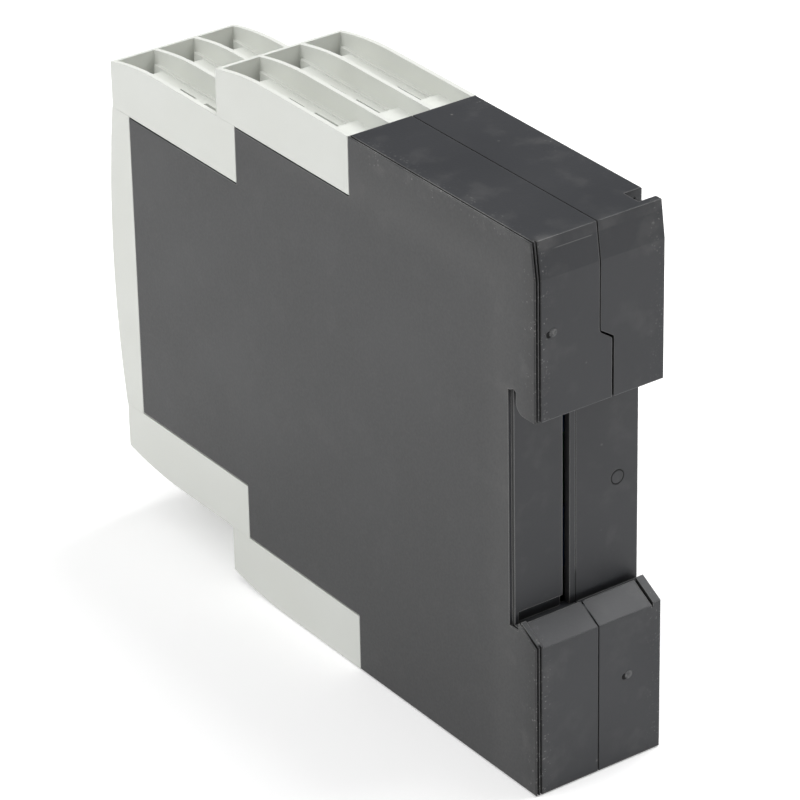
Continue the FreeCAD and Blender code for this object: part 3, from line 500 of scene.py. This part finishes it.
boardLaminate = {
    "resist": (0.012, 0.085, 0.035, 1),
    "paleResist": (0.018, 0.105, 0.045, 1),
    "track": (0.05, 0.20, 0.08, 1),
    "trackShare": 0.6,
    "tracks": {"Scale": 160.0, "Mortar Size": 0.06, "Brick Width": 1.4},
    "trackOffset": 0.37,
    "grain": {"Fineness": 3000.0, "Drift": 120.0},
    "roughness": 0.32,
    "roughVary": 0.1,
    "edgeRound": 0.0001,
    "bumpStrength": 0.3,
    "bumpDepth": 0.00003,
}


def makeBoardLaminate():
    # solder resist over copper tracks
    look = boardLaminate
    material, tree, shader, place = startMaterial("solderResist")
    grain = useGroup(tree, mouldedGrain, Vector=place, **look["grain"])
    edge = useGroup(tree, softEdge, Radius=look["edgeRound"])
    bricks = addNode(tree, "TexBrick", {"Vector": place, **look["tracks"]}, offset=look["trackOffset"])
    tracks = bricks.outputs["Fac"]
    colour = blendColour(tree, grain["Tone"], look["resist"], look["paleResist"])
    colour = blendColour(tree, multiply(tree, tracks, look["trackShare"]), colour, look["track"])
    roughness = varyRoughness(tree, look, grain)
    finishSurface(tree, shader, look, colour, roughness, tracks, edge["Normal"])
    return material


clearPipe = {
    "shader": {"Transmission Weight": 1.0, "IOR": 1.49},
    "clear": (0.90, 0.92, 0.90, 1),
    "tinged": (0.86, 0.90, 0.87, 1),
    "grain": {"Fineness": 900.0, "Drift": 150.0},
    "roughness": 0.12,
    "roughVary": 0.06,
    "edgeRound": 0.0001,
    "bumpStrength": 0.2,
    "bumpDepth": 0.00001,
}


def makeClearMoulding():
    look = clearPipe
    material, tree, shader, place = startMaterial("clearLightPipe", **look["shader"])
    grain = useGroup(tree, mouldedGrain, Vector=place, **look["grain"])
    edge = useGroup(tree, softEdge, Radius=look["edgeRound"])
    colour = blendColour(tree, grain["Tone"], look["clear"], look["tinged"])
    roughness = varyRoughness(tree, look, grain)
    finishSurface(tree, shader, look, colour, roughness, grain["Height"], edge["Normal"])
    return material


lampLens = {
    "shader": {"IOR": 1.5},
    "green": (0.05, 0.42, 0.10, 1),
    "amber": (0.75, 0.36, 0.04, 1),
    "red": (0.55, 0.04, 0.03, 1),
    "change": 0.00275,
    "grain": {"Fineness": 1200.0, "Drift": 400.0},
    "roughness": 0.2,
    "roughVary": 0.08,
    "edgeRound": 0.0001,
    "bumpStrength": 0.2,
    "bumpDepth": 0.00001,
}


def makeLampLens():
    # one tinted lens after another across the row
    look = lampLens
    material, tree, shader, place = startMaterial("tintedLampLens", **look["shader"])
    grain = useGroup(tree, mouldedGrain, Vector=place, **look["grain"])
    edge = useGroup(tree, softEdge, Radius=look["edgeRound"])
    across = splitAxes(tree, place)["X"]
    pastGreen = calc(tree, "GREATER_THAN", across, -look["change"])
    pastAmber = calc(tree, "GREATER_THAN", across, look["change"])
    colour = blendColour(tree, pastGreen, look["green"], look["amber"])
    colour = blendColour(tree, pastAmber, colour, look["red"])
    roughness = varyRoughness(tree, look, grain)
    finishSurface(tree, shader, look, colour, roughness, grain["Height"], edge["Normal"])
    return material


finishes = {
    "black_plastic": makeBlackPlastic(),
    "light_grey_plastic": makePalePlastic(),
    "zinc_plated_steel": makeFinish("zincPlate", (0.62, 0.62, 0.60, 1), (0.70, 0.69, 0.66, 1), 0.42,
                                    grain={"Fineness": 4000.0, "Drift": 300.0}, metallic=1.0,
                                    wear=(0.80, 0.79, 0.77, 1), hollowReach=0.0011),
    "brass": makeFinish("tinnedBrass", (0.72, 0.58, 0.32, 1), (0.78, 0.66, 0.42, 1), 0.3,
                        metallic=1.0, wear=(0.86, 0.74, 0.48, 1)),
    "board_laminate": makeBoardLaminate(),
    "relay_case": makeFinish("sealedRelayCase", (0.030, 0.10, 0.30, 1), (0.035, 0.12, 0.34, 1), 0.3),
    "ferrite": makeFinish("pressedFerrite", (0.055, 0.055, 0.060, 1), (0.085, 0.085, 0.090, 1), 0.62,
                          bumpDepth=0.00003),
    "film_capacitor_case": makeFinish("pottedBox", (0.62, 0.46, 0.06, 1), (0.70, 0.54, 0.10, 1), 0.35),
    "capacitor_can": makeFinish("drawnCan", (0.66, 0.67, 0.69, 1), (0.74, 0.75, 0.77, 1), 0.25,
                                metallic=1.0),
    "dark_moulding": makeFinish("darkMoulding", (0.020, 0.020, 0.021, 1), (0.030, 0.030, 0.031, 1), 0.45),
    "trimmer_case": makeFinish("trimmerCase", (0.06, 0.16, 0.36, 1), (0.08, 0.19, 0.41, 1), 0.4),
    "clear_moulding": makeClearMoulding(),
    "dial_plastic": makeFinish("dialPlastic", (0.050, 0.050, 0.053, 1), (0.065, 0.065, 0.068, 1), 0.36,
                               wear=(0.14, 0.14, 0.14, 1)),
}

for entry in frame["record"]["subparts"]:
    item = nodes[entry["node"]]
    item.data.materials.clear()
    item.data.materials.append(finishes[entry["material_slot"]])
nodes["status_leds"].data.materials[0] = makeLampLens()
scaleInk = makeFinish("scaleInk", (0.030, 0.031, 0.034, 1), (0.045, 0.046, 0.050, 1), 0.5)
print("finishes on every node")


# Pieces that carry finer detail than the solids

def addObject(name, data):
    holder = bpy.data.objects.new(name, data)
    bpy.context.scene.collection.objects.link(holder)
    return holder


def addPiece(name, mesh, body, material):
    data = bpy.data.meshes.new(name)
    mesh.to_mesh(data)
    mesh.free()
    data.materials.append(material)
    piece = addObject(name, data)
    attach(piece, body)
    return piece


def vertsIn(parts):
    return [part for part in parts if isinstance(part, bmesh.types.BMVert)]


terminalScrew = {
    "sides": 32,
    "faceRadius": 0.0018,
    "headRadius": 0.0021,
    "headHeight": 0.0024,
    "rimDrop": 0.0003,
    "driveHalf": 0.0004,
    "slotReach": 0.0017,
    "crossReach": 0.00125,
    "driveDepth": 0.0011,
    "threadCrest": 0.00148,
    "threadRoot": 0.00120,
    "threadPitch": 0.0005,
    "bareTurns": 1.5,
    "tipRadius": 0.0010,
    "firstTurn": 24.0,
    "turnStep": 67.0,
    "sharpAngle": 35.0,
}


def growRing(mesh, edges, factor, step):
    grown = bmesh.ops.extrude_edge_only(mesh, edges=edges)["geom"]
    verts = vertsIn(grown)
    bmesh.ops.scale(mesh, vec=(factor, 1, factor), verts=verts)
    bmesh.ops.translate(mesh, vec=(0, step, 0), verts=verts)
    return [part for part in grown if isinstance(part, bmesh.types.BMEdge) and part.is_boundary]


def scoreFace(mesh, normal, reach):
    for sign in (-1, 1):
        everything = mesh.verts[:] + mesh.edges[:] + mesh.faces[:]
        bmesh.ops.bisect_plane(mesh, geom=everything, plane_co=normal * reach * sign, plane_no=normal)


def sinkDrive(mesh):
    # a long slot up and down with a shorter one across it; the faces it is sunk from stay above it
    look = terminalScrew
    half = look["driveHalf"]
    across = Vector((1, 0, 0))
    upward = Vector((0, 0, 1))
    scoreFace(mesh, across, half)
    scoreFace(mesh, upward, half)
    scoreFace(mesh, upward, look["slotReach"])
    scoreFace(mesh, across, look["crossReach"])
    drive = []
    for face in mesh.faces:
        centre = face.calc_center_median()
        inSlot = abs(centre.x) < half and abs(centre.z) < look["slotReach"]
        inCross = abs(centre.z) < half and abs(centre.x) < look["crossReach"]
        if inSlot or inCross:
            drive.append(face)
    sunk = bmesh.ops.extrude_face_region(mesh, geom=drive)["geom"]
    bmesh.ops.translate(mesh, vec=(0, look["driveDepth"], 0), verts=vertsIn(sunk))


def screwRings(length):
    look = terminalScrew
    level = look["headHeight"]
    pitch = look["threadPitch"]
    rings = [(look["headRadius"], look["rimDrop"]), (look["headRadius"], level - look["rimDrop"]),
             (look["threadCrest"], level)]
    while level < length - look["bareTurns"] * pitch:
        rings.append((look["threadRoot"], level + pitch / 2))
        rings.append((look["threadCrest"], level + pitch))
        level += pitch
    rings.append((look["tipRadius"], length))
    return rings


def makeScrew(length):
    # the head's face lies at Y 0 and looks to -Y; the shank follows along +Y
    look = terminalScrew
    mesh = bmesh.new()
    bmesh.ops.create_circle(mesh, cap_ends=True, segments=look["sides"], radius=look["faceRadius"])
    bmesh.ops.rotate(mesh, verts=mesh.verts, matrix=Matrix.Rotation(math.radians(90), 3, "X"))
    sinkDrive(mesh)
    rim = [each for each in mesh.edges if each.is_boundary]
    radius, level = look["faceRadius"], 0.0
    for nextRadius, nextLevel in screwRings(length):
        rim = growRing(mesh, rim, nextRadius / radius, nextLevel - level)
        radius, level = nextRadius, nextLevel
    bmesh.ops.holes_fill(mesh, edges=rim, sides=0)
    bmesh.ops.recalc_face_normals(mesh, faces=mesh.faces)
    return mesh


def fitScrews():
    look = terminalScrew
    names = sorted(name for name in nodes if name.endswith("_screw"))
    for order, name in enumerate(names):
        low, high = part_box(name)
        mesh = makeScrew(high.y - low.y)
        turn = math.radians(look["firstTurn"] + look["turnStep"] * order)
        bmesh.ops.rotate(mesh, verts=mesh.verts, matrix=Matrix.Rotation(turn, 3, "Y"))
        bmesh.ops.translate(mesh, verts=mesh.verts, vec=((low.x + high.x) / 2, low.y, (low.z + high.z) / 2))
        piece = addPiece("detailed_" + name, mesh, name, finishes["zinc_plated_steel"])
        piece.data.shade_smooth()
        piece.data.set_sharp_from_angle(angle=math.radians(look["sharpAngle"]))
        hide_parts(name)
    print("screws fitted:", len(names))


dialMarks = {
    "pointerRadius": 0.00042,
    "pointerReach": 0.0030,
    "inkDepth": 0.00004,
    "tickCount": 11,
    "sweep": 300.0,
    "tickWidth": 0.00022,
    "tickReach": 0.0041,
    "longTick": 0.0010,
    "shortTick": 0.0006,
    "numberReach": 0.0064,
    "numberHeight": 0.0019,
    "numberSmoothness": 3,
    "numbers": {"unbalance_dial": range(5, 16), "delay_dial": range(0, 11)},
    "inFront": -1.0,
    "weld": 0.000001,
}


def makePointer(dial, centre, face):
    look = dialMarks
    mesh = bmesh.new()
    bmesh.ops.create_circle(mesh, cap_ends=True, segments=3, radius=look["pointerRadius"])
    bmesh.ops.rotate(mesh, verts=mesh.verts, matrix=Matrix.Rotation(math.radians(90), 3, "X"))
    raised = bmesh.ops.extrude_face_region(mesh, geom=mesh.faces[:])["geom"]
    bmesh.ops.translate(mesh, vec=(0, -look["inkDepth"], 0), verts=vertsIn(raised))
    bmesh.ops.recalc_face_normals(mesh, faces=mesh.faces)
    bmesh.ops.translate(mesh, verts=mesh.verts,
                        vec=(centre.x, face + look["inkDepth"] / 2, centre.z + look["pointerReach"]))
    addPiece("pointer_" + dial, mesh, dial, finishes["light_grey_plastic"])


def printNumber(mesh, number, at):
    look = dialMarks
    curve = bpy.data.curves.new("dialNumber", "FONT")
    curve.body = str(number)
    curve.size = look["numberHeight"]
    curve.align_x = "CENTER"
    curve.align_y = "CENTER"
    curve.resolution_u = look["numberSmoothness"]
    curve.extrude = look["inkDepth"] / 2
    holder = bpy.data.objects.new("dialNumber", curve)
    data = bpy.data.meshes.new_from_object(holder)
    data.transform(Matrix.Translation(at) @ Matrix.Rotation(math.radians(90), 4, "X"))
    mesh.from_mesh(data)
    bpy.data.objects.remove(holder)
    bpy.data.curves.remove(curve)
    bpy.data.meshes.remove(data)


def makeScale(dial, centre):
    # ticks and plain numbers round the dial, laid on the crowned cover
    look = dialMarks
    mesh = bmesh.new()
    for order in range(look["tickCount"]):
        turn = math.radians(look["sweep"] * (order / (look["tickCount"] - 1) - 0.5))
        numbered = order % 2 == 0
        length = look["longTick"] if numbered else look["shortTick"]
        verts = bmesh.ops.create_cube(mesh, size=1.0)["verts"]
        bmesh.ops.scale(mesh, vec=(look["tickWidth"], look["inkDepth"], length), verts=verts)
        bmesh.ops.translate(mesh, vec=(0, 0, look["tickReach"] + length / 2), verts=verts)
        bmesh.ops.rotate(mesh, verts=verts, matrix=Matrix.Rotation(turn, 3, "Y"))
        bmesh.ops.translate(mesh, vec=(centre.x, 0, centre.z), verts=verts)
        if numbered:
            at = Vector((math.sin(turn), 0, math.cos(turn))) * look["numberReach"]
            printNumber(mesh, look["numbers"][dial][order], at + Vector((centre.x, 0, centre.z)))
    cover = nodes["front_cover"]
    for vert in mesh.verts:
        hit = cover.ray_cast((vert.co.x, look["inFront"], vert.co.z), (0, 1, 0))
        vert.co.y += hit[1].y
    bmesh.ops.remove_doubles(mesh, verts=mesh.verts, dist=look["weld"])
    bmesh.ops.recalc_face_normals(mesh, faces=mesh.faces)
    addPiece("scale_" + dial, mesh, "relay", scaleInk)


fitScrews()
for dial in dialMarks["numbers"]:
    low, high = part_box(dial)
    makePointer(dial, (low + high) / 2, low.y)
    makeScale(dial, (low + high) / 2)
print("dial marks laid")


# Floor, lamps and camera

studio = {
    "white": (1, 1, 1, 1),
    "floorSize": 6.0,
    "floorDrop": 0.0002,
    "floorColour": (0.88, 0.88, 0.88, 1),
    "floorRoughness": 0.9,
    "floorLift": 0.29,
    "lowFade": (0.05, 0.38, 0.57, 0.12),
    "rearFade": (0.0, 0.7, 1.0, 0.6),
    "diffuserAim": (0.36, 0.05, 0.93),
    "diffuserFade": (0.62, 0.90, 0.0, 1.18),
}


def seenDirectly(tree):
    path = addNode(tree, "LightPath").outputs
    either = calc(tree, "MAXIMUM", path["Is Camera Ray"], path["Is Glossy Ray"])
    return calc(tree, "MAXIMUM", either, path["Is Transmission Ray"])


def makeFloor():
    mesh = bmesh.new()
    bmesh.ops.create_grid(mesh, x_segments=1, y_segments=1, size=studio["floorSize"])
    bmesh.ops.translate(mesh, verts=mesh.verts, vec=(0, 0, -studio["floorDrop"]))
    data = bpy.data.meshes.new("studioFloor")
    mesh.to_mesh(data)
    mesh.free()
    floor = addObject("studioFloor", data)
    material = bpy.data.materials.new("paleFloor")
    material.use_nodes = True
    tree = material.node_tree
    shader = tree.nodes["Principled BSDF"]
    shader.inputs["Base Color"].default_value = studio["floorColour"]
    shader.inputs["Roughness"].default_value = studio["floorRoughness"]
    shader.inputs["Specular IOR Level"].default_value = 0.0
    shader.inputs["Emission Color"].default_value = studio["white"]
    lift = multiply(tree, seenDirectly(tree), studio["floorLift"])
    tree.links.new(lift, shader.inputs["Emission Strength"])
    data.materials.append(material)
    floor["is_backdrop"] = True


def makeWorld():
    # pale low down, less so behind the rail side, dim at middle height, with a broad diffuser overhead
    world = bpy.data.worlds.new("studioWorld")
    bpy.context.scene.world = world
    world.use_nodes = True
    tree = world.node_tree
    light = tree.nodes["Background"]
    light.inputs["Color"].default_value = studio["white"]
    direction = addNode(tree, "TexCoord").outputs["Generated"]
    heading = splitAxes(tree, direction)
    level = multiply(tree, fade(tree, heading["Z"], *studio["lowFade"]),
                     fade(tree, heading["Y"], *studio["rearFade"]))
    facing = vectorCalc(tree, "DOT_PRODUCT", direction, studio["diffuserAim"]).outputs["Value"]
    diffuser = fade(tree, facing, *studio["diffuserFade"])
    tree.links.new(calc(tree, "ADD", level, diffuser), light.inputs["Strength"])


lamps = {
    "overheadSoftbox": {"at": (-0.62, 0.06, 1.12), "size": 0.8, "power": 12.0},
    "leftSoftbox": {"at": (0.95, -0.50, 0.85), "size": 0.9, "power": 4.8},
    "rightFill": {"at": (-0.55, 1.20, 0.60), "size": 0.9, "power": 0.05},
}


def makeLamps():
    aim = (cadLow + cadHigh) / 2
    for name, lamp in lamps.items():
        data = bpy.data.lights.new(name, "AREA")
        data.shape = "SQUARE"
        data.size = lamp["size"]
        data.energy = lamp["power"]
        holder = addObject(name, data)
        holder.location = lamp["at"]
        holder.rotation_mode = "QUATERNION"
        holder.rotation_quaternion = (aim - holder.location).to_track_quat("-Z", "Y")


camera = {
    "eye": (0.34039, 0.48743, 0.36130),
    "target": (-0.00140, 0.00438, 0.03891),
    "roll": 1.1213,
    "lens": 204.94,
    "sensor": 36.0,
    "clipStart": 0.05,
    "clipEnd": 20.0,
}


def makeCamera():
    data = bpy.data.cameras.new("photoCamera")
    data.lens = camera["lens"]
    data.sensor_width = camera["sensor"]
    data.clip_start = camera["clipStart"]
    data.clip_end = camera["clipEnd"]
    holder = addObject("photoCamera", data)
    eye = Vector(camera["eye"])
    forward = Vector(camera["target"]) - eye
    roll = Matrix.Rotation(math.radians(-camera["roll"]), 3, "Z")
    turn = forward.to_track_quat("-Z", "Y").to_matrix() @ roll
    holder.matrix_world = Matrix.Translation(eye) @ turn.to_4x4()
    bpy.context.scene.camera = holder


makeFloor()
makeWorld()
makeLamps()
makeCamera()
bpy.context.scene.view_settings.view_transform = "Standard"
print("studio and camera set")

low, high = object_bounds()
